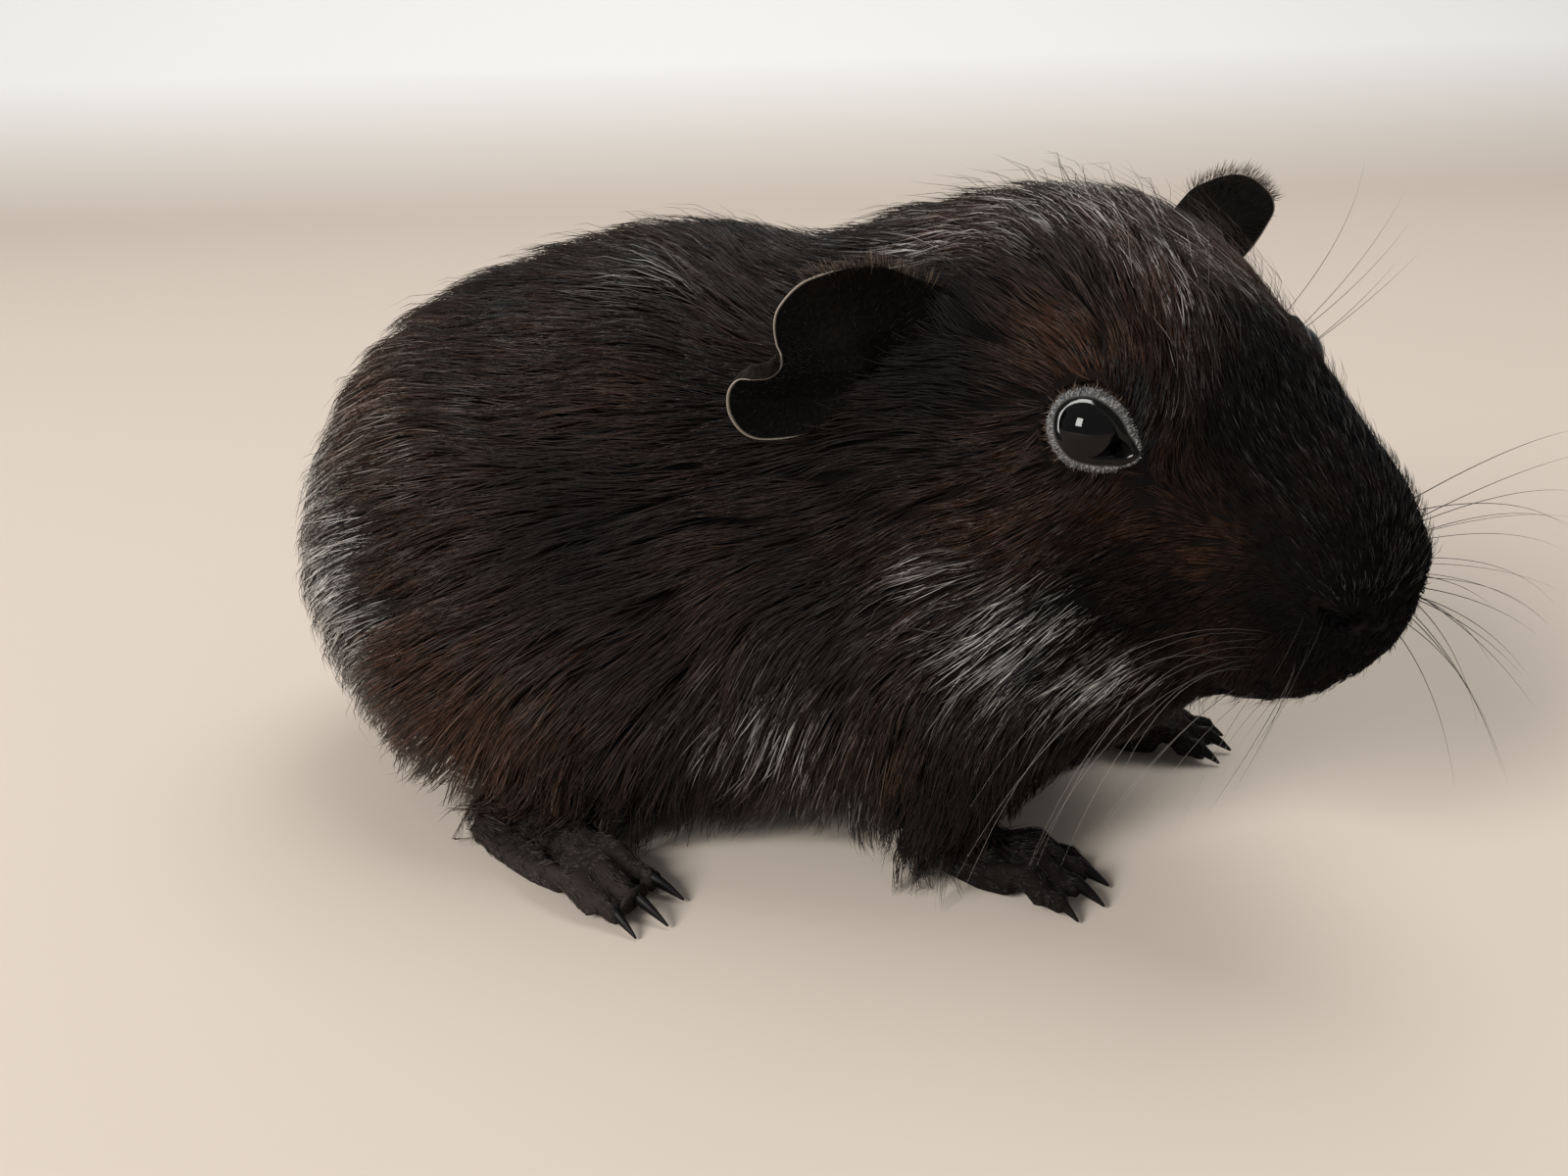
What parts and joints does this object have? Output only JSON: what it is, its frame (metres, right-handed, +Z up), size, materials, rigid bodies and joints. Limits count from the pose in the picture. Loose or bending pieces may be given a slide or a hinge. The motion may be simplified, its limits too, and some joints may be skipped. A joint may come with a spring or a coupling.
{
  "type": "guinea pig",
  "caption": "Young smooth-coated black guinea pig standing at rest on short legs, head raised and turned to its right, ears out, the right ear folded at its edge.",
  "frame": {"origin": "centre of the footprint of the whole model's box, on the floor under the soles", "axes": "+X along the trunk towards the head, +Y to the animal's left, +Z up"},
  "size_m": [0.1716, 0.1054, 0.0922],
  "materials": {
    "coat": "short sleek fur, near black with brown undertones and a silvery sheen where it catches light",
    "ear_skin": "thin dark bare skin with a fine down and a pale rim",
    "foot_skin": "dark creased skin under very short black fur",
    "eye": "wet glossy dark brown, nearly black",
    "claw": "dark horn, satin, slightly ridged along its length"
  },
  "bodies": {
    "root": {"ear_left": "ear_skin", "ear_right": "ear_skin", "eye_left": "eye", "eye_right": "eye", "front_claw_left_1": "claw", "front_claw_left_2": "claw", "front_claw_left_3": "claw", "front_claw_left_4": "claw", "front_claw_right_1": "claw", "front_claw_right_2": "claw", "front_claw_right_3": "claw", "front_claw_right_4": "claw", "front_foot_left": "foot_skin", "front_foot_right": "foot_skin", "front_leg_left": "coat", "front_leg_right": "coat", "head": "coat", "hind_claw_left_1": "claw", "hind_claw_left_2": "claw", "hind_claw_left_3": "claw", "hind_claw_right_1": "claw", "hind_claw_right_2": "claw", "hind_claw_right_3": "claw", "hind_foot_left": "foot_skin", "hind_foot_right": "foot_skin", "hind_leg_left": "coat", "hind_leg_right": "coat", "neck": "coat", "trunk": "coat"}
  },
  "joints": []
}
